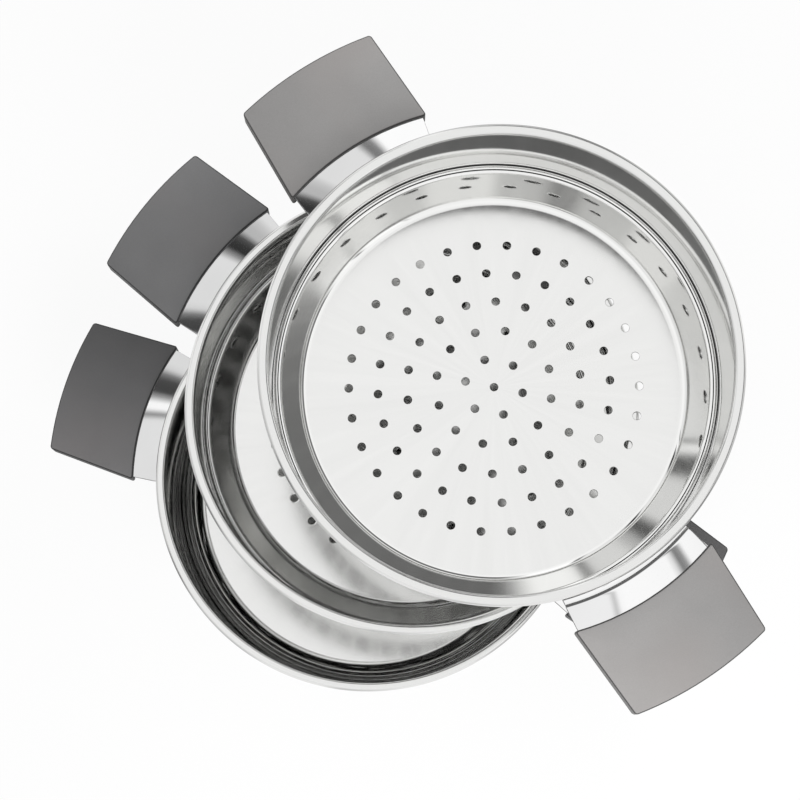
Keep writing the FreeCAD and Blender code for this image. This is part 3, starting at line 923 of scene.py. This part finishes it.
# the sides, pale screens with dark gaps and one long dark stretch:
SIDE_TONES = [
    (-180, 0.80), (-66, 0.98), (-55.4, 0.98), (-54.7, 0.5), (-54.2, 0.5), (-53.4, 1.1), (-36.8, 1.1),
    (-36.0, 0.2), (-33.8, 0.28), (-33.0, 1.1), (-22, 1.0), (-16, 0.2), (88, 0.16), (95, 1.15),
    (106, 1.15), (106.8, 0.25), (108.4, 0.2), (109.4, 0.85), (118.5, 0.85), (120, 0.56), (123.2, 0.54),
    (123.8, 0.05), (127.6, 0.03), (128.6, 0.85), (141.8, 0.82), (143.8, 0.08), (148.8, 0.05),
    (149.6, 1.1), (152.2, 1.1), (152.9, 0.2), (153.9, 0.2), (154.6, 0.85),
]
# the dark ceiling with one pale stretch:
CEILING_TONES = [(-180, 0.16), (-100, 0.12), (0, 0.15), (25, 1.0), (122, 1.0), (140, 0.2), (180, 0.16)]
# where each starts and ends: on the floor as distances from the pan's axis in metres, and the rest as the
# upward part of a direction
FAR_FLOOR = (0.09, 0.15)
FOOT_HEIGHTS = (0.30, 0.36)
SIDE_HEIGHTS = (0.36, 0.42, 0.69, 0.74)
CEILING_HEIGHTS = (0.74, 0.80, 0.987, 0.9925)
# what a ray's counts pass with its first matte bounce and with its second mirroring
FIRST_MATTE_BOUNCE = 0.5
SECOND_MIRRORING = 1.5


def make_camera():
    """Looks down into the vessels from close to their axis, through a long lens."""
    data = bpy.data.cameras.new("view")
    data.sensor_fit = "HORIZONTAL"
    data.sensor_width = SENSOR_WIDTH
    data.lens = SENSOR_WIDTH * FOCAL_IN_PIXELS / IMAGE_PIXELS
    data.clip_start = NEAREST_SEEN
    data.clip_end = FARTHEST_SEEN
    camera = bpy.data.objects.new("view", data)
    turn = Matrix.Rotation(CAMERA_TILT.length, 4, CAMERA_TILT.normalized())
    camera.matrix_world = Matrix.Translation(vessel_place("top")[0] + CAMERA_FROM_TOP_RIM) @ turn
    bpy.context.scene.collection.objects.link(camera)
    bpy.context.scene.camera = camera


def in_metal(shading):
    """1 for what metal mirrors straight to the camera; light that it throws on matte surfaces counts 0."""
    matte_bounces = shading.node("ShaderNodeLightPath").outputs["Diffuse Depth"]
    first_hand = shading.math("LESS_THAN", matte_bounces, FIRST_MATTE_BOUNCE)
    return shading.math("MULTIPLY", first_hand, shading.any_ray("Is Glossy Ray", "Is Transmission Ray"))


def turn_share(shading, x, y):
    """A direction's bearing as a share of a full turn from -180 degrees."""
    return shading.ramp(shading.math("ARCTAN2", y, x), (-math.pi, math.pi))


def make_floor():
    """A pale floor that keeps the shadow; most of its white shows straight to the camera. In metal its far
    part shows the tones of the studio's foot."""
    bpy.ops.mesh.primitive_plane_add(size=FLOOR_SIZE, location=(0, 0, 0))
    floor = bpy.context.object
    floor.name = "studio_floor"
    material, shading, shader = new_material("studio_floor")
    shading.feed(shader.inputs["Base Color"], FLOOR_COLOR)
    shader.inputs["Roughness"].default_value = 1.0
    shader.inputs["Specular IOR Level"].default_value = 0.0
    _, (x, y, _), _ = shading.object_place()
    far = shading.ramp(shading.axis_distance(x, y), FAR_FLOOR)
    foot = shading.greys(turn_share(shading, x, y), FOOT_TONES)
    glow_color = shading.blend(shading.math("MULTIPLY", far, in_metal(shading)), WHITE, foot)
    glow = shading.node("ShaderNodeEmission", glow_color)
    seen = shading.any_ray("Is Camera Ray", "Is Glossy Ray", "Is Transmission Ray")
    glow_share = shading.math("MULTIPLY", seen, FLOOR_GLOW_SHARE)
    surface = shading.node("ShaderNodeMixShader", glow_share, shader.outputs[0], glow.outputs[0])
    shading.feed(shading.nodes["Material Output"].inputs["Surface"], surface.outputs[0])
    floor.data.materials.append(material)


def make_world():
    """A white studio. In metal it also shows its grey foot, the dark gaps between its white screens and, only
    in light thrown back and forth inside a vessel, its dark ceiling, so rims and rounded edges stay pale."""
    world = bpy.data.worlds.new("studio")
    bpy.context.scene.world = world
    world.use_nodes = True
    shading = Shading(world.node_tree)
    plain = shading.nodes["Background"]
    shading.feed(plain.inputs["Color"], WHITE)
    seen = shading.any_ray("Is Camera Ray")
    shading.feed(plain.inputs["Strength"], shading.ramp(seen, (0.0, 1.0), (WORLD_LIGHT, BACKDROP_WHITE)))
    x, y, z = shading.split(shading.node("ShaderNodeTexCoord").outputs["Generated"])
    turn = turn_share(shading, x, y)
    foot = shading.greys(turn, FOOT_TONES)
    sides = shading.greys(turn, SIDE_TONES)
    ceiling = shading.greys(turn, CEILING_TONES)
    tones = shading.blend(shading.ramp(z, FOOT_HEIGHTS), foot, WHITE)
    tones = shading.blend(shading.window(z, SIDE_HEIGHTS), tones, sides)
    mirrorings = shading.node("ShaderNodeLightPath").outputs["Glossy Depth"]
    thrown_back = shading.math("GREATER_THAN", mirrorings, SECOND_MIRRORING)
    overhead = shading.math("MULTIPLY", shading.window(z, CEILING_HEIGHTS), thrown_back)
    tones = shading.blend(overhead, tones, ceiling)
    mirrored = shading.node("ShaderNodeBackground", tones)
    surface = shading.node("ShaderNodeMixShader", in_metal(shading), plain.outputs[0], mirrored.outputs[0])
    shading.feed(shading.nodes["World Output"].inputs["Surface"], surface.outputs[0])


def make_lamp(name, place, size, energy, aim):
    """A square soft lamp aimed at a place. Metal doesn't mirror it."""
    data = bpy.data.lights.new(name, "AREA")
    data.size = size
    data.energy = energy
    lamp = bpy.data.objects.new(name, data)
    lamp.location = place
    lamp.rotation_euler = (Vector(aim) - Vector(place)).to_track_quat("-Z", "Y").to_euler()
    lamp.visible_glossy = False
    bpy.context.scene.collection.objects.link(lamp)


make_camera()
make_floor()
make_world()
make_lamp("key", place=(0.04, -0.36, 0.55), size=0.3, energy=2.0, aim=(0.14, -0.08, 0.2))
make_lamp("fill", place=(0.22, 0.34, 0.52), size=0.25, energy=0.75, aim=(0.0, 0.12, 0.2))

bpy.context.scene.view_settings.view_transform = "Standard"
